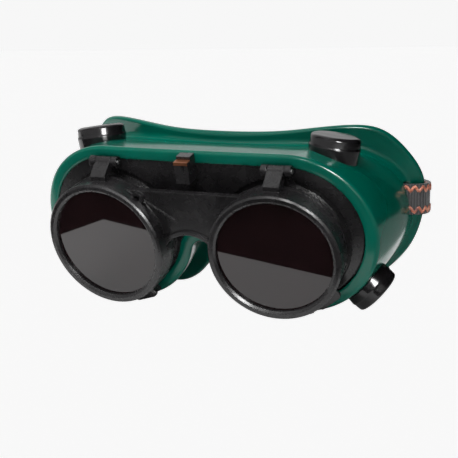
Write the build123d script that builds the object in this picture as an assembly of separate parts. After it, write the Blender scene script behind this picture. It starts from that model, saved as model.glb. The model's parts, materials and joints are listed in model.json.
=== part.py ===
from build123d import *
import copy
import math
import os

# Flip-front welding goggles, in millimetres.
# Every piece is drawn in the wearer's frame: X to the side, Y from the lenses towards the face, Z up in
# the plane of the lenses, with the origin midway between the front rims of the two lens cups.
# upright() and standing() then lean the goggles onto the floor, as they rest on cheeks and flange.

# Lenses and cups. Lens places run back from a cup's front rim along its lens axis.
EYE_X = 37.7
EYE_Z = -2.0
TOE = 4.5
LEAN = 17.0
SHADE_R = 25.0
SHADE_T = 3.0
CLEAR_R = 23.9
CLEAR_T = 2.0
CUP_R = 27.3
CUP_WALL = 1.35
CUP_APERTURE = 24.0
LIP_T = 2.1
RECESS = 0.9
CREST = 0.8
LENS_GAP = 0.15
CUP_REAR = 9.2
RING_REAR = 10.7
EAR_R = 31.0
EAR_DEG = 22.0
EAR_ANGLE = {"right": -51.0, "left": -70.0}
POST_ANGLE = {"right": -66.5, "left": -54.5}
POST_W = 1.8
POST_RISE = 2.2
POST_FRONT = 6.2
CUP_LENGTH = 20.0

# Fixed sockets of the front frame, in depths from the same front rim.
SOCKET_R = 25.3
SOCKET_FRONT = 12.2
SOCKET_REAR = 20.6
SOCKET_APERTURE = 22.6
SOCKET_BORE = 24.1
SOCKET_LIP = 2.2
GROOVES = (13.4, 14.7, 16.0)
GROOVE_W = 0.7
GROOVE_DEPTH = 0.45

# Soft body: each section is two round lobes, a straight top and a nose arch.
FRONT_Y = 14.0
REAR_Y = 50.0
FRONT_LOBE = {"x": 39.0, "z": 1.0, "r": 35.8, "arch": 4.5}
REAR_LOBE = {"x": 44.5, "z": -6.0, "r": 31.0, "arch": 18.0}
WALL = 2.2
RIM_T = 2.6
RIM_W = 5.4
PLATE_STEP = 0.6
PLATE_EDGE = 2.0
PLATE_FIT = 0.2
FRONT_SAG = 960.0
FACE_SAG = 250.0
FACE_Y = 51.8
FLANGE_T = 3.5
FLANGE_EDGE = [(0, 30.5), (28, 30.8), (50, 31.6), (64, 28.6), (74, 17.5), (80, 3), (79.3, -13), (73, -29),
               (60, -41), (46, -47.3), (33, -47.5), (20, -40), (11, -29.5), (0, -22)]
REACH = 100.0
LOFT_Y = (12.0, 82.0)

# Flip frame's bridge, and the detent block over it.
WEB_FRONT = 4.2
WEB_REAR = 6.9
WEB_TOP = 22.3
WEB_X = 30.0
NOSE_Z = -8.5
NOSE_R = 12.5
NOSE_RIM = 1.7
BOSS_X = -20.0
BOSS_Z = 19.6
BOSS_R = 2.5
RIB_PROUD = 0.8
BLOCK_X = 3.0
BLOCK_FRONT = 6.4
BLOCK_REAR = 13.5
BLOCK_TOP = 36.0
STEP_REAR = 9.2
STEP_TOP = 34.4
LEAF_T = 0.38

# Flip hinge.
HINGE_X = 38.0
HINGE_Y = 12.8
HINGE_Z = 30.5
PIN_R = 1.0
PIN_PLAY = 0.08
KNUCKLE_R = 2.3
KNUCKLE_W = 6.8
EAR_W = 2.6
HINGE_GAP = 0.25

# Vents.
VENT_R = 10.7
VENT_H = 9.0
VENT_WALL = 1.2
VENT_TOP_T = 1.6
VENT_HOLE_R = 6.0
VENT_SKIRT = 0.2
VENT_SEAT_TOP = 3.2
VENT_WINDOW_H = 3.2
VENT_GAP = 0.3
UPPER_VENT = {"y": 38.0, "angle": 72.0, "lean": 81.0, "out_y": 0.30, "sink": 0.8}
LOWER_VENT = {"y": 31.0, "angle": -45.0, "lean": -45.0, "out_y": 0.0, "sink": 1.8}

# Headband webbing and its slider, in the standing goggles' own upright frame.
BAND_T = 1.4
BAND_W = 13.0
BAND_Z = 15.5
BAND_BACK = 95.0
BAND_GAP = 0.35
BAND_LOOP = [(44, BAND_BACK), (70, 86.5), (81.6, 76.6), (81.6, 66.8), (77.6, 63.4), (69.8, 62.9),
             (69.8, 84.0)]
BAND_RADII = [25.0, 12.0, 3.0, 3.0, 2.0, 1.6, 2.4]
BAND_TAIL_X = -8.0
SLOT_X = 74.7
SLOT_Y = 63.4
SLOT_W = 3.6
SLIDER_X = 22.0
SLIDER_L = 12.0
SLIDER_WALL = 2.0
SLIDER_WINDOW = 2.9

SIDES = {"left": -1, "right": 1}


def mix(a, b, t):
    """The value t of the way from a to b."""
    return a + (b - a) * t


def lobes(y):
    """The soft body's outer section at depth y."""
    t = (y - FRONT_Y) / (REAR_Y - FRONT_Y)
    return {key: mix(FRONT_LOBE[key], REAR_LOBE[key], t) for key in FRONT_LOBE}


def shrunk(lobe, by):
    """A section moved inwards by the same distance all round."""
    return {"x": lobe["x"], "z": lobe["z"], "r": lobe["r"] - by, "arch": lobe["arch"] + by}


def lobed_edges(lobe, y):
    """Right lobe, nose arch and left lobe of a section, from top right to top left."""
    cx, cz, r, arch = lobe["x"], lobe["z"], lobe["r"], lobe["arch"]
    drop = math.sqrt((r + arch) ** 2 - cx**2)
    share = arch / (r + arch)
    tx = cx * share
    tz = cz - drop * (1 - share)
    end = math.atan2(tz - cz, tx - cx) + (0 if tz < cz else -2 * math.pi)
    middle = (math.pi / 2 + end) / 2
    mx = cx + r * math.cos(middle)
    mz = cz + r * math.sin(middle)
    right = ThreePointArc((cx, y, cz + r), (mx, y, mz), (tx, y, tz))
    nose = ThreePointArc((tx, y, tz), (0, y, cz - drop + arch), (-tx, y, tz))
    left = ThreePointArc((-tx, y, tz), (-mx, y, mz), (-cx, y, cz + r))
    return [right, nose, left]


def lobed_face(lobe, y):
    """A whole section as a flat face."""
    edges = lobed_edges(lobe, y)
    top = Line((-lobe["x"], y, lobe["z"] + lobe["r"]), (lobe["x"], y, lobe["z"] + lobe["r"]))
    return Face(Wire(edges + [top]))


def prism(face, depth):
    """A face swept towards the wearer."""
    return extrude(face, amount=depth, dir=(0, 1, 0))


def slab(front, back, front_sag, back_sag):
    """The space between two upright surfaces that curve back towards the sides."""
    f = front + REACH**2 / front_sag
    b = back + REACH**2 / back_sag
    z = -REACH
    edges = [
        ThreePointArc((-REACH, f, z), (0, front, z), (REACH, f, z)),
        Line((REACH, f, z), (REACH, b, z)),
        ThreePointArc((REACH, b, z), (0, back, z), (-REACH, b, z)),
        Line((-REACH, b, z), (-REACH, f, z)),
    ]
    return extrude(Face(Wire(edges)), amount=2 * REACH, dir=(0, 0, 1))


def lens_place(side):
    """The frame of one lens axis: local Z runs back from the cup's front rim."""
    sign = SIDES[side]
    toe = math.radians(TOE)
    x_dir = (math.cos(toe), sign * math.sin(toe), 0)
    z_dir = (-sign * math.sin(toe), math.cos(toe), 0)
    return Plane(origin=(sign * EYE_X, 0, EYE_Z), x_dir=x_dir, z_dir=z_dir).location


def turned(place, profile):
    """A closed profile of (radius, height) points turned round a place's Z axis."""
    points = [(r, 0, h) for r, h in profile]
    face = Face(Wire.make_polygon(points, close=True))
    return place * revolve(face, Axis.Z, 360)


def tube(place, outer, inner, low, high):
    """A plain ring."""
    return turned(place, [(inner, low), (outer, low), (outer, high), (inner, high)])


def rod(place, r, low, high):
    """A plain round bar."""
    return turned(place, [(0, low), (r, low), (r, high), (0, high)])


def yz_prism(points, x_low, x_high):
    """A polygon of (y, z) points swept across from x_low to x_high."""
    corners = [(x_low, y, z) for y, z in points]
    return extrude(Face(Wire.make_polygon(corners, close=True)), amount=x_high - x_low, dir=(1, 0, 0))


def cross_bar(x_low, x_high, r):
    """A round bar along the hinge axis."""
    place = Plane(origin=(0, HINGE_Y, HINGE_Z), x_dir=(0, 1, 0), z_dir=(1, 0, 0)).location
    return rod(place, r, x_low, x_high)


def wall_place(sign, y, angle, lean, out_y, sink):
    """A place in the body's wall at an angle above the side; local Z points out at the lean angle."""
    lobe = lobes(y)
    turn = math.radians(angle)
    x = lobe["x"] + lobe["r"] * math.cos(turn)
    z = lobe["z"] + lobe["r"] * math.sin(turn)
    tip = math.radians(lean)
    out = Vector(sign * math.cos(tip), out_y, math.sin(tip)).normalized()
    along = Vector(0, 0, 1) if angle < 0 else Vector(1, 0, 0)
    origin = Vector(sign * x, y, z) - out * sink
    return Plane(origin, x_dir=along.cross(out), z_dir=out).location


def vent_places():
    """Where the four vents stand: two on the brow and two under the cheeks."""
    places = {}
    for side, sign in SIDES.items():
        places["upper_" + side] = wall_place(sign, **UPPER_VENT)
        places["lower_" + side] = wall_place(sign, **LOWER_VENT)
    return places


def flange_face(y):
    """Outline of the face flange: brow humps, cheeks and nose arch."""
    right = [(x, y, z) for x, z in FLANGE_EDGE]
    left = [(-x, y, z) for x, z in FLANGE_EDGE[-2:0:-1]]
    return Face(Wire(Spline(*right, *left, periodic=True)))


def body_loft(by):
    """The body's tapering inside or outside, moved inwards by a distance."""
    ends = [lobed_face(shrunk(lobes(y), by), y) for y in LOFT_Y]
    return loft(ends, ruled=True)


def body_shell(vents):
    """Soft green body: hollow tube, turned-in front rim and face flange, with vent holes and strap slots."""
    outer = body_loft(0)
    inner = body_loft(WALL)
    skin = outer & slab(FRONT_Y, FACE_Y, FRONT_SAG, FACE_SAG)
    flange = prism(flange_face(40), 45) & slab(FACE_Y - FLANGE_T, FACE_Y, FACE_SAG, FACE_SAG)
    hollow = inner & slab(FRONT_Y + RIM_T, FACE_Y + 5, FRONT_SAG, FACE_SAG)
    window = prism(lobed_face(shrunk(FRONT_LOBE, RIM_W), 10), 14)
    shell = skin + flange - hollow - window
    for place in vents.values():
        shell -= rod(place, VENT_HOLE_R, -8, 8)
    for slot in strap_slots():
        shell -= Rot(-LEAN, 0, 0) * slot
    return shell


def hinge_ears(sign):
    """The two ears of the front frame that carry one hinge pin."""
    ears = []
    foot = [(HINGE_Y, 28.3), (17.4, 28.3), (17.4, 30.6), (HINGE_Y, 30.6)]
    for inner in (-KNUCKLE_W / 2 - HINGE_GAP - EAR_W, KNUCKLE_W / 2 + HINGE_GAP):
        low = sign * HINGE_X + inner
        ears.append(cross_bar(low, low + EAR_W, KNUCKLE_R + 0.1) + yz_prism(foot, low, low + EAR_W))
    return ears


def detent_block():
    """Block between the hinges that the bridge snaps over."""
    foot_rear = 15.4
    foot_low = 25.5
    foot_top = 31.0
    outline = [(BLOCK_FRONT, foot_low), (foot_rear, foot_low), (foot_rear, foot_top),
               (BLOCK_REAR, foot_top), (BLOCK_REAR, BLOCK_TOP), (STEP_REAR, BLOCK_TOP),
               (STEP_REAR, STEP_TOP), (BLOCK_FRONT, STEP_TOP)]
    return yz_prism(outline, -BLOCK_X, BLOCK_X)


def front_frame():
    """Black hard frame in the body's window: plate, lens sockets, hinge ears and the detent block."""
    lip_rear = FRONT_Y + RIM_T
    proud = prism(lobed_face(shrunk(FRONT_LOBE, RIM_W + PLATE_FIT), 10), 14)
    proud &= slab(FRONT_Y + PLATE_STEP, lip_rear + 0.2, FRONT_SAG, FRONT_SAG)
    edge = body_loft(WALL + PLATE_FIT + 0.05)
    edge &= slab(lip_rear + 0.05, lip_rear + PLATE_EDGE, FRONT_SAG, FRONT_SAG)
    frame = proud + edge
    for side in SIDES:
        place = lens_place(side)
        frame -= rod(place, CUP_R + 0.5, 5, 17.2)
        frame += rod(place, SOCKET_R, SOCKET_FRONT, SOCKET_REAR)
        for groove in GROOVES:
            frame -= tube(place, SOCKET_R + 1, SOCKET_R - GROOVE_DEPTH, groove, groove + GROOVE_W)
        frame -= rod(place, SOCKET_APERTURE, 5, SOCKET_FRONT + SOCKET_LIP)
        frame -= rod(place, SOCKET_BORE, SOCKET_FRONT + SOCKET_LIP, 30)
    for sign in SIDES.values():
        for ear in hinge_ears(sign):
            frame += ear
    frame += detent_block()
    for sign in SIDES.values():
        frame -= cross_bar(sign * HINGE_X - 12, sign * HINGE_X + 12, PIN_R)
    return frame


def detent_spring():
    """Bronze leaf on the step at the front top edge of the detent block."""
    front = BLOCK_FRONT - 0.02
    low = STEP_TOP + 0.02
    outline = [(front - LEAF_T, low - 0.9), (front, low - 0.9), (front, low), (STEP_REAR - 0.05, low),
               (STEP_REAR - 0.05, low + LEAF_T), (front - LEAF_T, low + LEAF_T)]
    return yz_prism(outline, -BLOCK_X, BLOCK_X)


def cup(side):
    """One cup of the flip frame, with a stop post for its lens ring."""
    place = lens_place(side)
    bore = CUP_R - CUP_WALL
    seat = SHADE_R + LENS_GAP
    seat_end = LIP_T + SHADE_T + 0.1
    body = turned(place, [
        (CUP_APERTURE, RECESS), (CUP_APERTURE + 1.0, 0), (CUP_R - CREST, 0), (CUP_R, CREST),
        (CUP_R, CUP_REAR), (bore, CUP_REAR), (bore, seat_end), (seat, seat_end),
        (seat, LIP_T), (CUP_APERTURE, LIP_T)])
    angle = POST_ANGLE[side]
    middle = (POST_FRONT + RING_REAR) / 2
    post = Pos(CUP_R + POST_RISE / 2 + 0.2, 0, middle) * Box(POST_RISE, POST_W, RING_REAR - POST_FRONT)
    post += Pos(CUP_R, 0, POST_FRONT + 1.3) * Box(1.2, POST_W, 2.6)
    return body + place * (Rot(0, 0, -angle) * post)


def facing(x, z):
    """A place in the plane of the lenses, with local Z towards the wearer."""
    return Plane(origin=(x, 0, z), x_dir=(1, 0, 0), z_dir=(0, 1, 0)).location


def sheet(points, front, rear):
    """A plate between two depths, from its (x, z) corners."""
    corners = [(x, front, z) for x, z in points]
    return prism(Face(Wire.make_polygon(corners, close=True)), rear - front)


def bridge():
    """Plate between the cups: nose arch with a raised rim, and a hollow boss and a thin rib on one side."""
    low = NOSE_Z - 0.5
    plate = sheet([(-WEB_X, low), (WEB_X, low), (WEB_X, WEB_TOP), (-WEB_X, WEB_TOP)], WEB_FRONT, WEB_REAR)
    nose = facing(0, NOSE_Z)
    rim = NOSE_R + NOSE_RIM
    upper = sheet([(-rim, low), (rim, low), (rim, 9), (-rim, 9)], 3, 8)
    plate += rod(nose, rim, WEB_FRONT - 0.9, WEB_REAR) & upper
    plate -= rod(nose, NOSE_R, 0, 12)
    boss = facing(BOSS_X, BOSS_Z)
    plate += rod(boss, BOSS_R, WEB_FRONT - 2.0, WEB_REAR)
    plate -= rod(boss, BOSS_R - 1.2, 1.0, WEB_REAR - 1.4)
    rib = [(-17.8, 18.6), (-17.0, 17.6), (-4.2, 9.0), (-3.6, 9.8)]
    plate += sheet(rib, WEB_FRONT - RIB_PROUD, WEB_REAR - 1.0)
    return plate


def hinge_arm(side):
    """Arm from the top of a cup to its hinge knuckle."""
    low = SIDES[side] * HINGE_X - KNUCKLE_W / 2
    rear = CUP_REAR - 0.4
    outline = [(4.5, 24.0), (rear, 24.0), (rear, 26.0), (HINGE_Y, 28.4), (HINGE_Y, 32.6), (4.5, 27.2)]
    arm = yz_prism(outline, low, low + KNUCKLE_W) + cross_bar(low, low + KNUCKLE_W, KNUCKLE_R)
    arm -= rod(lens_place(side), CUP_R - 0.6, -5, CUP_LENGTH)
    return arm - cross_bar(low - 1, low + KNUCKLE_W + 1, PIN_R + PIN_PLAY)


def flip_frame():
    """Both cups in one moulding with the bridge and the hinge arms."""
    frame = bridge()
    for side in SIDES:
        frame -= rod(lens_place(side), CUP_R - 0.6, -5, CUP_LENGTH)
        frame -= rod(lens_place(side), CUP_R + 0.35, CUP_REAR - 0.05, CUP_LENGTH)
    for side in SIDES:
        frame += hinge_arm(side)
        frame += cup(side)
    return frame


def shade_ring(side):
    """Bayonet ring behind a shade lens, with the thumb ear that turns it."""
    place = lens_place(side)
    front = LIP_T + SHADE_T + 0.25
    web = CUP_REAR + 0.1
    ring = turned(place, [
        (CUP_APERTURE - 0.4, front), (CUP_R - CUP_WALL - 0.2, front), (CUP_R - CUP_WALL - 0.2, web),
        (CUP_R, web), (CUP_R, RING_REAR), (CUP_R - 1.3, RING_REAR), (CUP_R - 1.3, web + 0.9),
        (CUP_APERTURE - 0.4, web + 0.9)])
    wide = 2 * EAR_R * math.sin(math.radians(EAR_DEG / 2))
    ear = Box(EAR_R - CUP_R + 0.6, wide, RING_REAR - web)
    ear = Pos((EAR_R + CUP_R) / 2 - 0.3, 0, (web + RING_REAR) / 2) * ear
    ear = fillet(ear.edges().filter_by(Axis.Z).sort_by(Axis.X)[-2:], 2.0)
    ear = place * (Rot(0, 0, -EAR_ANGLE[side]) * ear)
    return ring + (ear - rod(place, CUP_R - 0.5, 0, 20))


def shade_lens(side):
    """Dark round filter glass."""
    return rod(lens_place(side), SHADE_R, LIP_T + 0.02, LIP_T + SHADE_T)


def clear_lens(side):
    """Clear round glass in a fixed socket."""
    front = SOCKET_FRONT + SOCKET_LIP + 0.02
    return rod(lens_place(side), CLEAR_R, front, front + CLEAR_T)


def clear_lens_ring(side):
    """Ring that holds a clear lens from inside the goggles."""
    front = SOCKET_FRONT + SOCKET_LIP + CLEAR_T + 0.1
    place = lens_place(side)
    ring = tube(place, SOCKET_BORE - 0.1, SOCKET_APERTURE - 0.3, front, front + 3.6)
    for turn in (0, 180):
        notch = Pos(SOCKET_APERTURE, 0, front + 3.2) * Box(2.4, 4, 1.6)
        ring -= place * (Rot(0, 0, turn) * notch)
    return ring


def hinge_pin(sign):
    """Bright steel pin through two ears and a knuckle."""
    half = KNUCKLE_W / 2 + HINGE_GAP + EAR_W + 0.3
    return cross_bar(sign * HINGE_X - half, sign * HINGE_X + half, PIN_R)


def vent_cap(place):
    """Round cover over a vent, open underneath; air passes between its skirt and the wall."""
    bore = VENT_R - VENT_WALL
    roof = VENT_H - VENT_TOP_T
    cover = turned(place, [
        (0, VENT_H), (VENT_R - 1.6, VENT_H), (VENT_R - 0.4, VENT_H - 0.5), (VENT_R, VENT_H - 1.6),
        (VENT_R, VENT_SKIRT), (bore, VENT_SKIRT), (bore, roof), (0, roof)])
    return cover - body_loft(-VENT_GAP)


def vent_seat(place):
    """Grommet through the body's wall, with a windowed crown that the vent cap snaps onto."""
    flange_r = VENT_HOLE_R + 1.8
    crown_r = VENT_R - VENT_WALL - 0.1
    collar = rod(place, crown_r, -3.0, VENT_SEAT_TOP) - body_loft(0)
    stem = rod(place, VENT_HOLE_R - 0.05, -5.8, VENT_SEAT_TOP) + rod(place, flange_r, -6.6, -5.4)
    crown = tube(place, crown_r, crown_r - 1.1, 0, VENT_H - VENT_TOP_T - 0.05) - body_loft(0)
    window = Pos(VENT_R, 0, VENT_SEAT_TOP + 0.4 + VENT_WINDOW_H / 2) * Box(9, 6.5, VENT_WINDOW_H)
    for turn in range(0, 360, 90):
        crown -= place * (Rot(0, 0, turn) * window)
    return collar + stem + crown - rod(place, VENT_HOLE_R - 1.8, -9, VENT_SEAT_TOP + 0.1)


def upright(shape):
    """The wearer's frame turned to the way the goggles stand."""
    return Rot(LEAN, 0, 0) * shape


def headband():
    """One elastic strip on edge, through both side slots, its right end doubled back to the slider."""
    tuck = BAND_BACK - BAND_T - BAND_GAP
    left = [(-x, y) for x, y in reversed(BAND_LOOP)]
    route = [(-56, 89.4)] + left + BAND_LOOP + [(43.4, tuck), (BAND_TAIL_X, tuck)]
    line = FilletPolyline(*route, radius=BAND_RADII[::-1] + BAND_RADII + [25.0])
    return Pos(0, 0, BAND_Z - BAND_W / 2) * extrude(trace(line, BAND_T), amount=BAND_W)


def slider():
    """Three-bar slider that grips both layers of the webbing behind the head opening."""
    layers = 2 * BAND_T + BAND_GAP
    middle = BAND_BACK - (BAND_T + BAND_GAP) / 2
    body = Box(SLIDER_L, layers + 2 * SLIDER_WALL, BAND_W + 2 * SLIDER_WALL + 0.4)
    body = fillet(body.edges().filter_by(Axis.Y), 1.2)
    body -= Box(SLIDER_L + 2, layers + 0.7, BAND_W + 0.8)
    window = Box(SLIDER_WINDOW, 3.0, BAND_W + 0.8)
    for x in (-2.6, 2.6):
        body -= Pos(x, layers / 2 + 1.2, 0) * window
    return Pos(SLIDER_X, middle, BAND_Z) * body


def strap_slots():
    """Cutters for the two upright slots in the body's side walls, in the upright frame."""
    return [Pos(sign * SLOT_X, SLOT_Y, BAND_Z) * Box(8, SLOT_W, BAND_W + 2) for sign in SIDES.values()]


def standing(pieces):
    """Move the pieces so that their box stands on the floor over the origin."""
    box = Compound(children=[copy.copy(piece) for piece in pieces.values()]).bounding_box()
    base = Vector(-box.center().X, -box.center().Y, -box.min.Z)
    return {name: Pos(base) * piece for name, piece in pieces.items()}


def main():
    """Build, stand and write every piece."""
    vents = vent_places()
    pieces = {"body_shell": body_shell(vents), "front_frame": front_frame(),
              "detent_spring": detent_spring(), "flip_frame": flip_frame()}
    for side, sign in SIDES.items():
        pieces["shade_lens_" + side] = shade_lens(side)
        pieces["shade_ring_" + side] = shade_ring(side)
        pieces["clear_lens_" + side] = clear_lens(side)
        pieces["clear_lens_ring_" + side] = clear_lens_ring(side)
        pieces["hinge_pin_" + side] = hinge_pin(sign)
    for name, place in vents.items():
        pieces["vent_cap_" + name] = vent_cap(place)
        pieces["vent_seat_" + name] = vent_seat(place)
    pieces = {name: upright(piece) for name, piece in pieces.items()}
    pieces["headband"] = headband()
    pieces["headband_slider"] = slider()
    os.makedirs("parts", exist_ok=True)
    for name, piece in standing(pieces).items():
        export_step(piece, "parts/" + name + ".step")


main()
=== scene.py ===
import math

import bmesh
import bpy
import numpy as np
from mathutils import Matrix, Vector
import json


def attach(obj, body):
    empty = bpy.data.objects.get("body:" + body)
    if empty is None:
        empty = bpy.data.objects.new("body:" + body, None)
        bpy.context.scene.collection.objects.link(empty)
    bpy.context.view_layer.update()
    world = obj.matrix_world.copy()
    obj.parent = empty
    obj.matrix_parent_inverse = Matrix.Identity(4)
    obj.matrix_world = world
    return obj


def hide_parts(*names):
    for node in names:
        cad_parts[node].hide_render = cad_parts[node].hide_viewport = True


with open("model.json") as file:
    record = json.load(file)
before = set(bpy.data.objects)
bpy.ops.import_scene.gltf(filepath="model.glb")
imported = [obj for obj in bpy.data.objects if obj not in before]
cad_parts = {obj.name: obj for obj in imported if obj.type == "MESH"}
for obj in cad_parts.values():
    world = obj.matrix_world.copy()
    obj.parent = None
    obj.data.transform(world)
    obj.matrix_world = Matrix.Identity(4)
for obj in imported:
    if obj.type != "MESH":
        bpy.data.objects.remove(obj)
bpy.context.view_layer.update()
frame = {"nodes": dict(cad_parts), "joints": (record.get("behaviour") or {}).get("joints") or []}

# Flip-front welding goggles. Lengths are millimetres in the wearer's frame of the CAD part: X to the side,
# Y from the lenses towards the face, Z up in the plane of the lenses. to_shared() carries a point to the
# frame that the CAD objects stand in, in metres.
MM = 0.001
LEAN = math.radians(17.0)
HINGE = Vector((0.0, 12.8, 30.5))

JOINTS = {joint["name"]: joint for joint in frame["joints"]}
LEAN_TURN = Matrix.Rotation(LEAN, 4, "X")
ORIGIN = Vector(JOINTS["flip_hinge"]["pos_m"]) / MM - LEAN_TURN @ HINGE
TO_SHARED = Matrix.Scale(MM, 4) @ Matrix.Translation(ORIGIN) @ LEAN_TURN
UPRIGHT = Matrix.Scale(MM, 4) @ Matrix.Translation(ORIGIN)
SIDES = {"left": -1, "right": 1}

# Radius that the shader gives to the hard plastic's edges
EDGE_SOFT = 0.45

# Lenses
EYE_X = 37.7
EYE_Z = -2.0
TOE = math.radians(4.5)
LENS_FRONT = 2.12

# Soft body
FRONT_Y = 14.0
REAR_Y = 50.0
FRONT_LOBE = (39.0, 1.0, 35.8, 4.5)
REAR_LOBE = (44.5, -6.0, 31.0, 18.0)
WALL = 2.2
WALL_BULGE = 0.9
RIM_T = 2.6
RIM_W = 5.4
RIM_CROWN = 0.08
EDGE_R = 2.0
FILLET_R = 3.2
FRONT_SAG = 960.0
FACE_SAG = 250.0
FACE_Y = 51.8
FLANGE_T = 3.5
REACH = 100.0
FLANGE_EDGE = [(0, 30.5), (28, 30.8), (50, 31.6), (64, 28.6), (74, 17.5), (80, 3), (79.3, -13), (73, -29),
               (60, -41), (46, -47.3), (33, -47.5), (20, -40), (11, -29.5), (0, -22)]

# Closed profiles that are turned round an axis stop this far from it
AXIS_R = 0.01

# Vents
VENT_R = 10.7
VENT_H = 9.0
VENT_HOLE_R = 5.9
VENT_GAP = 0.3
UPPER_VENT = {"y": 38.0, "angle": 72.0, "lean": 81.0, "out_y": 0.30, "sink": 0.8}
LOWER_VENT = {"y": 31.0, "angle": -45.0, "lean": -45.0, "out_y": 0.0, "sink": 1.8}

# Webbing, in the standing goggles' upright frame
BAND_T = 1.4
BAND_W = 13.0
BAND_Z = 15.5
BAND_BACK = 95.0
BAND_GAP = 0.35
BAND_LOOP = [(44, BAND_BACK), (70, 86.5), (81.6, 76.6), (81.6, 66.8), (77.6, 63.4), (69.8, 62.9),
             (69.8, 84.0)]
BAND_TAIL_X = -8.0
BAND_STEPS = 24
BAND_RIBS = 26
RIB_DEPTH = 0.09
THREAD_PITCH = 3.4
THREAD_SWING = 1.25
THREAD_R = 0.62
THREAD_FLAT = 0.6
THREAD_IN = 2.0
THREAD_PROUD = 0.08
SLOT_X = 74.7
SLOT_Y = 63.4
SLOT_W = 3.6
SLOT_DEEP = 8.0
SLOT_SPARE = 2.0


# ---------------------------------------------------------------- shapes

def to_shared(point):
    """A point of the wearer's frame, in the shared frame."""
    return TO_SHARED @ Vector(point)


def lens_place(side):
    """Matrix of one lens axis: local Z runs back from the cup's front rim."""
    sign = SIDES[side]
    x_dir = Vector((math.cos(TOE), sign * math.sin(TOE), 0))
    z_dir = Vector((-sign * math.sin(TOE), math.cos(TOE), 0))
    y_dir = z_dir.cross(x_dir)
    turn = Matrix((x_dir, y_dir, z_dir)).transposed().to_4x4()
    return TO_SHARED @ Matrix.Translation((sign * EYE_X, 0, EYE_Z)) @ turn


def new_object(name, points, faces, smooth_angle=40.0):
    """A mesh object from points in the shared frame."""
    mesh = bpy.data.meshes.new(name)
    mesh.from_pydata([tuple(p) for p in points], [], faces)
    mesh.update()
    piece = bpy.data.objects.new(name, mesh)
    bpy.context.scene.collection.objects.link(piece)
    fix_normals(piece)
    smooth(piece, smooth_angle)
    return piece


def fix_normals(piece):
    """Faces all turned outwards."""
    bm = bmesh.new()
    bm.from_mesh(piece.data)
    bmesh.ops.recalc_face_normals(bm, faces=bm.faces)
    bm.to_mesh(piece.data)
    bm.free()


def smooth(piece, angle):
    """Smooth shading, with edges sharper than the angle kept sharp."""
    for face in piece.data.polygons:
        face.use_smooth = True
    piece.data.set_sharp_from_angle(angle=math.radians(angle))


def grid_faces(rows, columns, close_rows=True):
    """Quads over a grid of points stored row by row, with every row closed round."""
    faces = []
    for i in range(rows if close_rows else rows - 1):
        for j in range(columns):
            a = (i % rows) * columns
            b = ((i + 1) % rows) * columns
            k = (j + 1) % columns
            faces.append((a + j, a + k, b + k, b + j))
    return faces


def rounded(profile, sizes, steps, most=0.45):
    """A closed profile with each corner cut back by its size, or by most of a shorter side, and rounded."""
    count = len(profile)
    points = []
    for i in range(count):
        before, here, after = (Vector(profile[(i + k) % count]) for k in (-1, 0, 1))
        back = before - here
        onward = after - here
        reach = min(sizes[i], most * back.length, most * onward.length)
        if reach == 0:
            points.append(here)
            continue
        start = here + back.normalized() * reach
        end = here + onward.normalized() * reach
        for k in range(steps + 1):
            t = k / steps
            points.append(start * (1 - t) ** 2 + here * 2 * t * (1 - t) + end * t * t)
    return points


def lathe(name, profile, place, segments):
    """A closed profile of (radius, height) turned round a place's Z axis."""
    points = []
    for r, h in profile:
        for k in range(segments):
            turn = 2 * math.pi * k / segments
            points.append(place @ Vector((r * math.cos(turn), r * math.sin(turn), h)))
    return new_object(name, points, grid_faces(len(profile), segments))


# ---------------------------------------------------------------- soft body

def lobe_at(y):
    """Lobe centre x, z, radius and nose arch radius of the body's section at depth y."""
    t = (y - FRONT_Y) / (REAR_Y - FRONT_Y)
    return [a + (b - a) * t for a, b in zip(FRONT_LOBE, REAR_LOBE)]


def bow(x, sag):
    """How far a surface that curves back towards the sides has gone back at x."""
    depth = REACH ** 2 / sag
    radius = (REACH ** 2 + depth ** 2) / (2 * depth)
    return radius - math.sqrt(radius ** 2 - x ** 2)


TOP_COLUMNS = 18
LOBE_COLUMNS = 72
NOSE_COLUMNS = 14
HALF_COLUMNS = TOP_COLUMNS + LOBE_COLUMNS + NOSE_COLUMNS
EDGE_ROWS = 7
WALL_ROWS = 20
FILLET_ROWS = 6
FLANGE_ROWS = 7
ROUND_ROWS = 8
INNER_ROWS = 12


def half_outline(y, inset, column):
    """(x, z) on the right half of a section, from the top middle (column 0) to the nose's middle."""
    cx, cz, r, arch = lobe_at(y)
    drop = math.sqrt((r + arch) ** 2 - cx ** 2)
    share = arch / (r + arch)
    end = math.atan2(-drop * (1 - share), cx * share - cx) % (2 * math.pi)
    r -= inset
    arch += inset
    if column <= TOP_COLUMNS:
        return cx * column / TOP_COLUMNS, cz + r
    if column <= TOP_COLUMNS + LOBE_COLUMNS:
        t = (column - TOP_COLUMNS) / LOBE_COLUMNS
        turn = math.pi / 2 + (end - 2.5 * math.pi) * t
        return cx + r * math.cos(turn), cz + r * math.sin(turn)
    t = (column - TOP_COLUMNS - LOBE_COLUMNS) / NOSE_COLUMNS
    start = math.atan2(drop * share, cx * share)
    turn = start + (math.pi / 2 - start) * t
    return arch * math.cos(turn), cz - drop + arch * math.sin(turn)


def skin_point(column, inset, depth):
    """Point of the body's skin where its depth is depth(x)."""
    y = FRONT_Y
    for _ in range(6):
        x, z = half_outline(y, inset, column)
        y = depth(x)
    return Vector((x, y, z))


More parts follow.
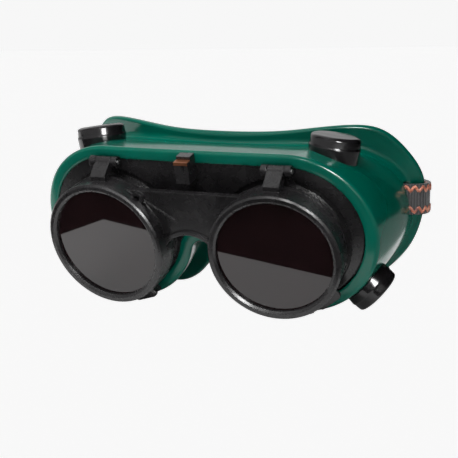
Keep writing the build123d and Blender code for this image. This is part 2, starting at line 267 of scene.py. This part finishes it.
def closed_spline(points, steps):
    """A smooth closed curve through (x, z) points: steps points for each span."""
    p = np.array(points, float)
    n = len(p)
    chord = np.linalg.norm(np.roll(p, -1, 0) - p, axis=1)
    a = np.zeros((n, n))
    b = np.zeros((n, 2))
    for i in range(n):
        h0, h1 = chord[i - 1], chord[i]
        a[i, i - 1] = h1
        a[i, i] = 2 * (h0 + h1)
        a[i, (i + 1) % n] = h0
        b[i] = 3 * (h1 * (p[i] - p[i - 1]) / h0 + h0 * (p[(i + 1) % n] - p[i]) / h1)
    slope = np.linalg.solve(a, b)
    found = []
    for i in range(n):
        j = (i + 1) % n
        for k in range(steps):
            t = k / steps
            found.append(p[i] * (2 * t ** 3 - 3 * t ** 2 + 1) + p[j] * (3 * t ** 2 - 2 * t ** 3)
                         + chord[i] * (slope[i] * (t ** 3 - 2 * t ** 2 + t) + slope[j] * (t ** 3 - t ** 2)))
    return np.array(found)


def flange_outline():
    """(x, z) of the flange's edge for each column of the right half."""
    steps = 40
    mirrored = [(-x, z) for x, z in FLANGE_EDGE[-2:0:-1]]
    curve = closed_spline(FLANGE_EDGE + mirrored, steps)
    # First and last corner point of each stretch, and the columns along it
    spans = [(0, 2, TOP_COLUMNS), (2, 12, LOBE_COLUMNS), (12, 13, NOSE_COLUMNS)]
    edge = []
    for first, last, columns in spans:
        part = curve[first * steps:last * steps + 1]
        along = np.concatenate([[0], np.cumsum(np.linalg.norm(np.diff(part, axis=0), axis=1))])
        for k in range(columns):
            at = along[-1] * k / columns
            edge.append((np.interp(at, along, part[:, 0]), np.interp(at, along, part[:, 1])))
    edge.append(FLANGE_EDGE[-1])
    return edge


def front_depth(x):
    """Depth of the front rim's face at x."""
    return FRONT_Y + bow(x, FRONT_SAG)


def face_depth(x):
    """Depth of the face flange's rear side at x."""
    return FACE_Y + bow(x, FACE_SAG)


def skin_row(inset, depth):
    """One row of the skin, at an inset from the body's outline, where its depth is depth(x)."""
    return [skin_point(column, inset, depth) for column in range(HALF_COLUMNS + 1)]


def row_between(start, end, t, back):
    """A row part of the way from one row to another, at the depth of the flange's rear side plus back."""
    row = []
    for a, b in zip(start, end):
        x = a.x * (1 - t) + b.x * t
        row.append(Vector((x, face_depth(x) + back, a.z * (1 - t) + b.z * t)))
    return row


def rim_rows():
    """The window's lip, the front rim's face and its rounded outer edge."""
    places = ((RIM_W, 1.6), (RIM_W, 0.6), (RIM_W - 0.18, 0.18), (RIM_W - 0.6, 0.0), (RIM_W - 1.6, -RIM_CROWN),
              (EDGE_R + 0.9, -RIM_CROWN))
    rows = [skin_row(inset, lambda x, back=back: front_depth(x) + back) for inset, back in places]
    for k in range(EDGE_ROWS + 1):
        turn = math.pi / 2 * k / EDGE_ROWS
        inset = EDGE_R * (1 - math.sin(turn))
        back = EDGE_R * (1 - math.cos(turn))
        rows.append(skin_row(inset, lambda x, back=back: front_depth(x) + back))
    return rows


def wall_rows():
    """The outer wall, bulging a little between the rim and the flange's fillet."""
    rows = []
    for k in range(1, WALL_ROWS):
        t = k / WALL_ROWS
        rows.append(skin_row(
            -WALL_BULGE * math.sin(math.pi * t),
            lambda x, t=t: (front_depth(x) + EDGE_R) * (1 - t) + (face_depth(x) - FLANGE_T - FILLET_R) * t))
    return rows


def fillet_rows(edge):
    """The fillet between the wall and the flange, smaller where the flange is narrow."""
    least = 0.3
    share = 0.6
    wall = skin_row(0.0, lambda x: face_depth(x) - FLANGE_T)
    widths = [(Vector(rim) - Vector((p.x, p.z))).length - FLANGE_T / 2 for rim, p in zip(edge, wall)]
    fillets = [max(least, min(FILLET_R, share * width)) for width in widths]
    rows = []
    for k in range(FILLET_ROWS + 1):
        turn = math.pi / 2 * k / FILLET_ROWS
        row = []
        for column, fillet in enumerate(fillets):
            back = -FLANGE_T - fillet * (1 - math.sin(turn))
            inset = -fillet * (1 - math.cos(turn))
            row.append(skin_point(column, inset, lambda x, back=back: face_depth(x) + back))
        rows.append(row)
    return rows


def flange_rows(edge, root, inner):
    """The flange's front side from its root, its round edge, and its rear side towards the inner wall."""
    flange_r = FLANGE_T / 2
    outs = []
    rims = []
    for (x, z), p in zip(edge, root):
        out = Vector((x - p.x, 0, z - p.z)).normalized()
        outs.append(out)
        rims.append(Vector((x, 0, z)) - out * flange_r)
    rows = [row_between(root, rims, k / FLANGE_ROWS, -FLANGE_T) for k in range(1, FLANGE_ROWS)]
    for k in range(ROUND_ROWS + 1):
        turn = math.pi * k / ROUND_ROWS
        row = []
        for rim, out in zip(rims, outs):
            p = rim + out * flange_r * math.sin(turn)
            p.y = face_depth(rim.x) - flange_r - flange_r * math.cos(turn)
            row.append(p)
        rows.append(row)
    return rows + [row_between(rims, inner, k / (FLANGE_ROWS + 0.5), 0.0) for k in range(1, FLANGE_ROWS)]


def inner_rows():
    """The inner wall from the face opening to the front, and the front lip's rear side."""
    start = -1.2
    rows = [skin_row(WALL, lambda x, back=back: face_depth(x) + back) for back in (-0.35, start)]
    for k in range(1, INNER_ROWS):
        t = k / INNER_ROWS
        rows.append(skin_row(
            WALL, lambda x, t=t: (face_depth(x) + start) * (1 - t) + (front_depth(x) + RIM_T + 0.8) * t))
    lip = ((WALL + 0.1, 0.25), (WALL + 0.9, 0.0), (RIM_W - 1.0, 0.0), (RIM_W - 0.2, -0.15))
    return rows + [skin_row(inset, lambda x, back=back: front_depth(x) + RIM_T + back) for inset, back in lip]


def body_rows():
    """Rows of the right half's points, from inside the window's lip round the outside and back inside."""
    edge = flange_outline()
    fillet = fillet_rows(edge)
    inner = skin_row(WALL, face_depth)
    return rim_rows() + wall_rows() + fillet + flange_rows(edge, fillet[-1], inner) + inner_rows()


def wall_place(sign, y, angle, lean, out_y, sink):
    """Matrix of a place in the wall, in the wearer's frame; local Z points outwards at the lean angle."""
    cx, cz, r, _ = lobe_at(y)
    turn = math.radians(angle)
    spot = Vector((sign * (cx + r * math.cos(turn)), y, cz + r * math.sin(turn)))
    tip = math.radians(lean)
    out = Vector((sign * math.cos(tip), out_y, math.sin(tip))).normalized()
    along = Vector((0, 0, 1)) if angle < 0 else Vector((1, 0, 0))
    x_dir = along.cross(out).normalized()
    y_dir = out.cross(x_dir)
    turned = Matrix((x_dir, y_dir, out)).transposed().to_4x4()
    return Matrix.Translation(spot - out * sink) @ turned


def vent_places():
    """Where the four vents stand."""
    places = {}
    for side, sign in SIDES.items():
        places["upper_" + side] = wall_place(sign, **UPPER_VENT)
        places["lower_" + side] = wall_place(sign, **LOWER_VENT)
    return places


def outside(point):
    """How far a point of the wearer's frame is outside the body's wall."""
    cx, cz, r, _ = lobe_at(point.y)
    x = abs(point.x)
    if x < cx and point.z > cz:
        return point.z - cz - r
    return math.hypot(x - cx, point.z - cz) - r


def wall_height(place, r, turn):
    """Height over a vent's place at which the wall's skin lies, at a radius and a turn."""
    low, high = -8.0, 8.0
    for _ in range(24):
        middle = (low + high) / 2
        if outside(place @ Vector((r * math.cos(turn), r * math.sin(turn), middle))) > 0:
            high = middle
        else:
            low = middle
    return high


def cut(piece, tools):
    """Cut solids out of a piece, and remove them."""
    for tool in tools:
        modifier = piece.modifiers.new("cut", "BOOLEAN")
        modifier.operation = "DIFFERENCE"
        modifier.solver = "EXACT"
        modifier.object = tool
    depsgraph = bpy.context.evaluated_depsgraph_get()
    mesh = bpy.data.meshes.new_from_object(piece.evaluated_get(depsgraph))
    piece.modifiers.clear()
    piece.data = mesh
    for tool in tools:
        bpy.data.objects.remove(tool)


def soft_body():
    """The green mask, as one closed surface with vent holes and strap slots."""
    half = body_rows()
    points = []
    for right in half:
        left = [Vector((-p.x, p.y, p.z)) for p in right[-2:0:-1]]
        points += [to_shared(p) for p in right + left]
    body = new_object("soft_body", points, grid_faces(len(half), 2 * HALF_COLUMNS), 60.0)
    tools = []
    for name, place in vent_places().items():
        hole = [(AXIS_R, -8), (VENT_HOLE_R, -8), (VENT_HOLE_R, 8), (AXIS_R, 8)]
        tools.append(lathe("cut_" + name, hole, TO_SHARED @ place, 48))
    for sign in SIDES.values():
        size = Vector((SLOT_DEEP, SLOT_W, BAND_W + SLOT_SPARE)) / 2
        corner = [(x, y, z) for x in (-1, 1) for y in (-1, 1) for z in (-1, 1)]
        middle = Vector((sign * SLOT_X, SLOT_Y, BAND_Z))
        spots = [UPRIGHT @ (middle + Vector((size.x * x, size.y * y, size.z * z))) for x, y, z in corner]
        faces = [(0, 1, 3, 2), (4, 6, 7, 5), (0, 4, 5, 1), (2, 3, 7, 6), (0, 2, 6, 4), (1, 5, 7, 3)]
        tools.append(new_object("cut_slot", spots, faces))
    cut(body, tools)
    smooth(body, 50.0)
    return body


# ---------------------------------------------------------------- webbing

def band_path(points, steps):
    """Points along a smooth line led by the corner points, in the upright frame."""
    line = [Vector(p) for p in points]
    found = [line[0]]
    last = len(line) - 2
    for i in range(1, last + 1):
        start = line[0] if i == 1 else (line[i - 1] + line[i]) / 2
        end = line[-1] if i == last else (line[i] + line[i + 1]) / 2
        for k in range(1, steps + 1):
            t = k / steps
            found.append(start * (1 - t) ** 2 + line[i] * 2 * t * (1 - t) + end * t * t)
    return found


def band_route():
    """Corner points of the webbing, from the end sewn on the left round the back to the tail."""
    tuck = BAND_BACK - BAND_T - BAND_GAP
    left = [(-x, y) for x, y in reversed(BAND_LOOP)]
    return [(-56, 89.4)] + left + [(0, BAND_BACK)] + BAND_LOOP + [(44, tuck), (BAND_TAIL_X, tuck)]


def even(points, step):
    """The same line with points an even step apart, and their distances along it."""
    p = np.array([tuple(q) for q in points])
    along = np.concatenate([[0], np.cumsum(np.linalg.norm(np.diff(p, axis=0), axis=1))])
    at = np.linspace(0, along[-1], int(along[-1] / step) + 1)
    return [Vector((np.interp(s, along, p[:, 0]), np.interp(s, along, p[:, 1]))) for s in at], at


def sides_of(line):
    """Unit vectors across a flat line at each point."""
    across = []
    for i in range(len(line)):
        ahead = line[min(i + 1, len(line) - 1)] - line[max(i - 1, 0)]
        ahead.normalize()
        across.append(Vector((ahead.y, -ahead.x)))
    return across


def webbing():
    """The elastic strip: a ribbed ribbon on edge, with a UV map in millimetres along and across it."""
    line, at = even(band_path(band_route(), BAND_STEPS), 0.8)
    across = sides_of(line)
    profile = []
    for face in (1, -1):
        for k in range(BAND_RIBS + 1):
            out = BAND_T / 2 - (RIB_DEPTH if k % 2 else 0.0)
            profile.append((face * out, face * BAND_W * (k / BAND_RIBS - 0.5)))
    points = []
    for spot, out in zip(line, across):
        for off, high in profile:
            flat = spot + out * off
            points.append(UPRIGHT @ Vector((flat.x, flat.y, BAND_Z + high)))
    rows, columns = len(line), len(profile)
    faces = grid_faces(rows, columns, close_rows=False)
    faces.append(tuple(range(columns)))
    faces.append(tuple(reversed(range((rows - 1) * columns, rows * columns))))
    band = new_object("webbing", points, faces, 80.0)
    layer = band.data.uv_layers.new(name="weave")
    for loop in band.data.loops:
        row, column = divmod(loop.vertex_index, columns)
        layer.data[loop.index].uv = (at[row] / 10, profile[column][1] / 10)
    return band


def edge_threads():
    """Coloured threads that zigzag along both edges of the webbing, on both faces."""
    line, at = even(band_path(band_route(), BAND_STEPS), 0.45)
    across = sides_of(line)
    ring = 6
    points = []
    faces = []
    for face in (-1, 1):
        for edge in (-1, 1):
            first = len(points)
            swing = []
            for spot, out, s in zip(line, across, at):
                wave = abs((s / THREAD_PITCH) % 1.0 - 0.5) * 4 - 1
                high = edge * (BAND_W / 2 - THREAD_IN + THREAD_SWING * wave)
                flat = spot + out * face * (BAND_T / 2 + THREAD_PROUD)
                swing.append(UPRIGHT @ Vector((flat.x, flat.y, BAND_Z + high)))
            for i, p in enumerate(swing):
                ahead = swing[min(i + 1, len(swing) - 1)] - swing[max(i - 1, 0)]
                ahead.normalize()
                out = Vector((across[i].x, across[i].y, 0))
                side = ahead.cross(out).normalized()
                for k in range(ring):
                    turn = 2 * math.pi * k / ring
                    round_it = side * math.cos(turn) + out * math.sin(turn) * THREAD_FLAT
                    points.append(p + round_it * THREAD_R * MM)
            rows = len(swing)
            faces += [tuple(first + v for v in f) for f in grid_faces(rows, ring, close_rows=False)]
            faces.append(tuple(first + k for k in range(ring)))
            faces.append(tuple(first + (rows - 1) * ring + k for k in reversed(range(ring))))
    return new_object("webbing_threads", points, faces, 80.0)


# ---------------------------------------------------------------- vents

def vent_cap(name, place):
    """Round cover with a shallow dome, a thicker band round its skirt and a foot that follows the wall."""
    segments = 128
    inside = VENT_R - 1.5
    sizes = [0, 2.0, 1.2, 0.3, 0.4, 0.35, 0.2, 0.6, 0]
    points = []
    for k in range(segments):
        turn = 2 * math.pi * k / segments
        foot = wall_height(place, VENT_R, turn) + VENT_GAP
        band = max(4.2, foot + 1.2)
        outline = [(AXIS_R, VENT_H), (VENT_R - 2.2, VENT_H - 0.1), (VENT_R - 0.5, VENT_H - 0.8),
                   (VENT_R - 0.3, band + 0.6), (VENT_R, band), (VENT_R - 0.5, foot), (inside, foot),
                   (inside, VENT_H - 1.7), (AXIS_R, VENT_H - 1.6)]
        for r, h in rounded(outline, sizes, 6):
            points.append(TO_SHARED @ place @ Vector((r * math.cos(turn), r * math.sin(turn), h)))
    columns = len(points) // segments
    return new_object("cover_" + name, points, grid_faces(segments, columns))


# ---------------------------------------------------------------- materials

def shader(name):
    """A new material and its main shader."""
    material = bpy.data.materials.new(name)
    material.use_nodes = True
    return material, material.node_tree, material.node_tree.nodes["Principled BSDF"]


def noise(tree, scale, detail):
    """A noise texture in the object's own space."""
    place = tree.nodes.new("ShaderNodeTexCoord")
    texture = tree.nodes.new("ShaderNodeTexNoise")
    texture.inputs["Scale"].default_value = scale
    texture.inputs["Detail"].default_value = detail
    tree.links.new(place.outputs["Object"], texture.inputs["Vector"])
    return texture


def ramp(tree, source, stops):
    """A colour ramp over a texture's factor."""
    node = tree.nodes.new("ShaderNodeValToRGB")
    elements = node.color_ramp.elements
    while len(elements) < len(stops):
        elements.new(0.5)
    for element, (at, colour) in zip(elements, stops):
        element.position = at
        element.color = (*colour, 1.0)
    tree.links.new(source, node.inputs["Fac"])
    return node


def to_range(tree, source, low, high):
    """A factor mapped onto a range of values."""
    node = tree.nodes.new("ShaderNodeMapRange")
    node.inputs["To Min"].default_value = low
    node.inputs["To Max"].default_value = high
    tree.links.new(source, node.inputs["Value"])
    return node.outputs["Result"]


def bumps(tree, shader_node, layers, under=None):
    """Layers of (height source, strength, distance in metres) over one another, and over the node under."""
    last = under
    for source, strength, distance in layers:
        node = tree.nodes.new("ShaderNodeBump")
        node.inputs["Strength"].default_value = strength
        node.inputs["Distance"].default_value = distance
        tree.links.new(source, node.inputs["Height"])
        if last:
            tree.links.new(last.outputs["Normal"], node.inputs["Normal"])
        last = node
    tree.links.new(last.outputs["Normal"], shader_node.inputs["Normal"])


def green_pvc():
    """Glossy soft green PVC that lets a little light through, with slow waves from moulding."""
    material, tree, main = shader("green_pvc")
    tint = noise(tree, 22.0, 3.0)
    colour = ramp(tree, tint.outputs["Fac"], [(0.3, (0.0, 0.075, 0.05)), (0.7, (0.0, 0.095, 0.064))])
    tree.links.new(colour.outputs["Color"], main.inputs["Base Color"])
    rough = noise(tree, 160.0, 5.0)
    tree.links.new(to_range(tree, rough.outputs["Fac"], 0.12, 0.2), main.inputs["Roughness"])
    waves = noise(tree, 34.0, 1.0)
    grain = noise(tree, 900.0, 2.0)
    bumps(tree, main, [(waves.outputs["Fac"], 0.18, 0.0010), (grain.outputs["Fac"], 0.008, 0.0001)])
    main.inputs["Subsurface Weight"].default_value = 0.12
    main.inputs["Subsurface Radius"].default_value = (0.2, 1.0, 0.6)
    main.inputs["Subsurface Scale"].default_value = 0.003
    main.inputs["IOR"].default_value = 1.45
    return material


def black_plastic(name, base, low, high, grain_size=700.0, grain=0.12):
    """Moulded black plastic: softened edges, fine grain, faint scuffs and uneven gloss."""
    material, tree, main = shader(name)
    cloud = noise(tree, 60.0, 6.0)
    lifted = tuple(min(1.0, c * 1.9 + 0.004) for c in base)
    colour = ramp(tree, cloud.outputs["Fac"], [(0.35, base), (0.8, lifted)])
    tree.links.new(colour.outputs["Color"], main.inputs["Base Color"])
    rough = noise(tree, 240.0, 8.0)
    tree.links.new(to_range(tree, rough.outputs["Fac"], low, high), main.inputs["Roughness"])
    fine = noise(tree, grain_size, 3.0)
    slow = noise(tree, 45.0, 1.0)
    edges = tree.nodes.new("ShaderNodeBevel")
    edges.samples = 6
    edges.inputs["Radius"].default_value = EDGE_SOFT * MM
    layers = [(slow.outputs["Fac"], 0.1, 0.0004), (fine.outputs["Fac"], grain, 0.0001)]
    bumps(tree, main, layers, edges)
    main.inputs["IOR"].default_value = 1.5
    return material


def dark_glass():
    """Nearly black filter glass with a faint warm cast and a little dust."""
    material, tree, main = shader("dark_glass")
    cast = noise(tree, 30.0, 2.0)
    colour = ramp(tree, cast.outputs["Fac"], [(0.3, (0.004, 0.0018, 0.002)), (0.8, (0.008, 0.0035, 0.004))])
    tree.links.new(colour.outputs["Color"], main.inputs["Base Color"])
    dust = noise(tree, 500.0, 8.0)
    tree.links.new(to_range(tree, dust.outputs["Fac"], 0.015, 0.06), main.inputs["Roughness"])
    main.inputs["IOR"].default_value = 1.62
    return material


def clear_glass():
    """Clear cover glass."""
    material, tree, main = shader("clear_glass_soft")
    dust = noise(tree, 400.0, 8.0)
    tree.links.new(to_range(tree, dust.outputs["Fac"], 0.01, 0.05), main.inputs["Roughness"])
    main.inputs["Base Color"].default_value = (0.93, 0.97, 0.95, 1.0)
    main.inputs["Transmission Weight"].default_value = 1.0
    main.inputs["IOR"].default_value = 1.5
    return material


def metal(name, base, low, high):
    """Drawn metal with fine streaks."""
    material, tree, main = shader(name)
    streak = noise(tree, 420.0, 6.0)
    lifted = tuple(min(1.0, c * 1.3) for c in base)
    colour = ramp(tree, streak.outputs["Fac"], [(0.3, base), (0.7, lifted)])
    tree.links.new(colour.outputs["Color"], main.inputs["Base Color"])
    tree.links.new(to_range(tree, streak.outputs["Fac"], low, high), main.inputs["Roughness"])
    bumps(tree, main, [(streak.outputs["Fac"], 0.1, 0.0001)])
    main.inputs["Metallic"].default_value = 1.0
    return material


def woven(name, base, lifted):
    """Woven elastic: fine crosswise picks over the ribs, with fuzz."""
    material, tree, main = shader(name)
    place = tree.nodes.new("ShaderNodeUVMap")
    picks = tree.nodes.new("ShaderNodeTexWave")
    picks.wave_type = "BANDS"
    picks.bands_direction = "X"
    picks.inputs["Scale"].default_value = 2.6
    picks.inputs["Distortion"].default_value = 0.6
    picks.inputs["Detail"].default_value = 2.0
    picks.inputs["Detail Scale"].default_value = 3.0
    tree.links.new(place.outputs["UV"], picks.inputs["Vector"])
    fuzz = noise(tree, 1500.0, 4.0)
    mixer = tree.nodes.new("ShaderNodeMath")
    mixer.operation = "MULTIPLY"
    tree.links.new(picks.outputs["Fac"], mixer.inputs[0])
    tree.links.new(fuzz.outputs["Fac"], mixer.inputs[1])
    colour = ramp(tree, mixer.outputs["Value"], [(0.1, base), (0.7, lifted)])
    tree.links.new(colour.outputs["Color"], main.inputs["Base Color"])
    bumps(tree, main, [(picks.outputs["Fac"], 0.5, 0.0003), (fuzz.outputs["Fac"], 0.3, 0.0001)])
    main.inputs["Roughness"].default_value = 0.75
    main.inputs["Sheen Weight"].default_value = 0.3
    return material


def thread():
    """Twisted orange-red thread with paler and darker stretches."""
    material, tree, main = shader("thread_orange")
    twist = noise(tree, 420.0, 3.0)
    stops = [(0.3, (0.12, 0.022, 0.012)), (0.52, (0.42, 0.11, 0.05)), (0.75, (0.68, 0.36, 0.25))]
    colour = ramp(tree, twist.outputs["Fac"], stops)
    tree.links.new(colour.outputs["Color"], main.inputs["Base Color"])
    bumps(tree, main, [(twist.outputs["Fac"], 0.4, 0.0002)])
    main.inputs["Roughness"].default_value = 0.55
    main.inputs["Sheen Weight"].default_value = 0.2
    return material


def paint(piece, material):
    """One material over the whole piece."""
    piece.data.materials.clear()
    piece.data.materials.append(material)


# ---------------------------------------------------------------- pieces

def build():
    """Every piece, its body and its finish."""
    nodes = frame["nodes"]
    pvc = green_pvc()
    hard = black_plastic("black_satin", (0.0065, 0.006, 0.0065), 0.2, 0.34)
    gloss = black_plastic("black_gloss", (0.005, 0.0045, 0.005), 0.1, 0.22, 500.0, 0.06)
    shade = dark_glass()
    clear = clear_glass()
    body = soft_body()
    paint(body, pvc)
    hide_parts("body_shell")
    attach(body, "goggle_body")
    band = webbing()
    paint(band, woven("webbing_black", (0.006, 0.006, 0.006), (0.05, 0.047, 0.05)))
    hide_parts("headband")
    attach(band, "goggle_body")
    threads = edge_threads()
    paint(threads, thread())
    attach(threads, "goggle_body")
    for name, place in vent_places().items():
        cap = vent_cap(name, place)
        paint(cap, gloss)
        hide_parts("vent_cap_" + name)
        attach(cap, "goggle_body")
        paint(nodes["vent_seat_" + name], gloss)
    for name in ("front_frame", "flip_frame", "headband_slider"):
        paint(nodes[name], hard)
    for side in SIDES:
        paint(nodes["shade_ring_" + side], hard)
        paint(nodes["clear_lens_ring_" + side], hard)
        paint(nodes["shade_lens_" + side], shade)
        paint(nodes["clear_lens_" + side], clear)
        paint(nodes["hinge_pin_" + side], metal("pin_steel_" + side, (0.5, 0.5, 0.5), 0.2, 0.35))
    paint(nodes["detent_spring"], metal("leaf_bronze", (0.3, 0.12, 0.06), 0.35, 0.5))


# ---------------------------------------------------------------- studio

VIEW_AZ = math.radians(25.4)
VIEW_EL = math.radians(11.3)
VIEW_DISTANCE = 462.0
VIEW_LENS = 90.0
VIEW_TARGET = (11.0, 20.0, -0.5)
MIDDLE = Vector((0, 0, 0.04))
CARD_LIFT = 0.0004


def heading(azimuth, elevation):
    """Unit vector towards a direction; azimuth 0 is the front, positive to the right."""
    return Vector((math.sin(azimuth) * math.cos(elevation), -math.cos(azimuth) * math.cos(elevation),
                   math.sin(elevation)))


def aim(thing, target):
    """Turn a camera or light so that its local -Z points at a target."""
    thing.rotation_euler = (target - thing.location).to_track_quat("-Z", "Y").to_euler()


def camera():
    """The camera at the photographed viewing angle."""
    data = bpy.data.cameras.new("camera")
    data.lens = VIEW_LENS
    data.clip_start = 0.01
    seen = bpy.data.objects.new("camera", data)
    bpy.context.scene.collection.objects.link(seen)
    seen.location = to_shared((0, 0, 0)) + heading(VIEW_AZ, VIEW_EL) * VIEW_DISTANCE * MM
    aim(seen, to_shared(VIEW_TARGET))
    bpy.context.scene.camera = seen


def soft_light(name, azimuth, elevation, distance, size, watts):
    """A square soft light aimed at the object."""
    data = bpy.data.lights.new(name, "AREA")
    data.shape = "SQUARE"
    data.size = size
    data.energy = watts
    lamp = bpy.data.objects.new(name, data)
    bpy.context.scene.collection.objects.link(lamp)
    lamp.location = MIDDLE + heading(math.radians(azimuth), math.radians(elevation)) * distance
    aim(lamp, MIDDLE)
    return lamp


def card(name, corners, brightness):
    """A studio card that only shows in reflections."""
    mesh = bpy.data.meshes.new(name)
    mesh.from_pydata([tuple(c) for c in corners], [], [tuple(range(len(corners)))])
    board = bpy.data.objects.new(name, mesh)
    bpy.context.scene.collection.objects.link(board)
    material = bpy.data.materials.new(name)
    material.use_nodes = True
    tree = material.node_tree
    tree.nodes.clear()
    glow = tree.nodes.new("ShaderNodeEmission")
    glow.inputs["Color"].default_value = (brightness, brightness, brightness, 1.0)
    out = tree.nodes.new("ShaderNodeOutputMaterial")
    tree.links.new(glow.outputs["Emission"], out.inputs["Surface"])
    mesh.materials.append(material)
    board.visible_camera = False
    board.visible_diffuse = False
    board.visible_transmission = False
    board.visible_shadow = False
    return board


def direction_card(name, spots, distance, brightness):
    """A card whose corners lie at (azimuth, elevation) directions in degrees."""
    corners = [MIDDLE + heading(math.radians(a), math.radians(e)) * distance for a, e in spots]
    return card(name, corners, brightness)


def floor_card(name, corners, brightness):
    """A card that lies on the floor, with corners (x, y) in metres."""
    return card(name, [(x, y, CARD_LIFT) for x, y in corners], brightness)


def floor_seen_in(side, x, z):
    """Point of the floor that the camera sees mirrored at a spot (right, up) of a dark lens."""
    place = lens_place(side)
    spot = place @ Vector((x, -z, LENS_FRONT))
    normal = (place.to_3x3() @ Vector((0, 0, 1))).normalized()
    ray = (spot - bpy.context.scene.camera.location).normalized()
    ray -= 2 * ray.dot(normal) * normal
    return spot - ray * (spot.z / ray.z)


def dark_table():
    """Dark floor beyond the pale table's edge, which the two lenses mirror at these (right, up) spots."""
    edge = [floor_seen_in("left", *spot) for spot in ((-24.1, 0.4), (0.7, 10.8), (22.7, 8.0))]
    edge += [floor_seen_in("right", *spot) for spot in ((-24.4, 1.4), (21.6, -8.0))]
    onward = edge[-1] + (edge[-1] - edge[-2]).normalized() * 0.12
    reach = -1.2
    far = [(onward.x, reach), (reach, reach), (reach, edge[0].y)]
    spots = [(p.x, p.y) for p in edge + [onward]] + far
    card("card_table", [(x, y, CARD_LIFT + 0.0001) for x, y in spots], 0.012)


def plane(name, reach, height):
    """A square of floor."""
    mesh = bpy.data.meshes.new(name)
    mesh.from_pydata([(-reach, -reach, height), (reach, -reach, height), (reach, reach, height),
                      (-reach, reach, height)], [], [(0, 1, 2, 3)])
    board = bpy.data.objects.new(name, mesh)
    bpy.context.scene.collection.objects.link(board)
    return board


def unseen(board, camera_only):
    """Keep a stage piece for the camera alone, or for light and reflections alone."""
    board.visible_camera = camera_only
    for kind in ("diffuse", "glossy", "transmission", "shadow"):
        setattr(board, "visible_" + kind, not camera_only)


def backdrop():
    """Pale walls far round the stage, for the camera alone."""
    for a in range(0, 360, 90):
        wall = direction_card("wall_%d" % a, [(a, -4), (a + 90, -4), (a + 90, 60), (a, 60)], 6.0, 0.93)
        wall.visible_camera = True
        wall.visible_glossy = False


def floors():
    """Pale floor that takes light and shows in reflections, and a brighter one that the camera sees."""
    lit, _, main = shader("floor_pale")
    main.inputs["Base Color"].default_value = (0.86, 0.86, 0.86, 1.0)
    main.inputs["Roughness"].default_value = 0.7
    ground = plane("floor", 6.0, 0.0)
    ground.data.materials.append(lit)
    unseen(ground, False)
    bright, _, main = shader("floor_white")
    main.inputs["Base Color"].default_value = (0.9, 0.9, 0.9, 1.0)
    main.inputs["Roughness"].default_value = 0.8
    main.inputs["Emission Color"].default_value = (1.0, 1.0, 1.0, 1.0)
    main.inputs["Emission Strength"].default_value = 0.55
    sweep = plane("floor_sweep", 12.0, -0.0003)
    sweep.data.materials.append(bright)
    unseen(sweep, True)


def lamps():
    """Pale surroundings and three soft lamps; the rear one lights without showing in glossy surfaces."""
    world = bpy.data.worlds.new("world")
    bpy.context.scene.world = world
    world.use_nodes = True
    sky = world.node_tree.nodes["Background"]
    sky.inputs["Color"].default_value = (1.0, 1.0, 1.0, 1.0)
    sky.inputs["Strength"].default_value = 0.5
    soft_light("key", -25, 58, 1.1, 0.6, 13.0)
    soft_light("spark", 15, 38, 0.9, 0.12, 1.6)
    back = soft_light("back", 203, 24, 1.0, 0.5, 7.0)
    back.visible_glossy = False
    back.visible_transmission = False


def cards():
    """What the glossy surfaces mirror: dark cards for the room, bright ones for the lights in it."""
    dark_table()
    backdrop()
    direction_card("card_side", [(85, -3), (178, -3), (178, 70), (85, 70)], 0.6, 0.02)
    direction_card("card_front", [(-85, 8), (75, 8), (75, 50), (-85, 50)], 1.0, 0.03)
    direction_card("card_over", [(-90, 62), (90, 62), (130, 80), (-130, 80)], 0.9, 0.7)
    floor_card("card_right", [(0.086, -0.16), (1.2, -0.6), (1.2, 1.1), (0.086, 1.1)], 0.25)
    direction_card("card_flash", [(28, 11), (46, 11), (46, 28), (28, 28)], 0.9, 42.0)
    direction_card("card_back", [(150, 15), (245, 15), (245, 38), (150, 38)], 1.2, 1.0)
    flag = direction_card("flag_side", [(70, -2), (165, -2), (165, 60), (70, 60)], 0.4, 0.0)
    flag.visible_diffuse = True
    flag.visible_shadow = True


def studio():
    """The stage, with colours shown as they are set."""
    floors()
    lamps()
    cards()
    bpy.context.scene.view_settings.view_transform = "Standard"


build()
camera()
studio()
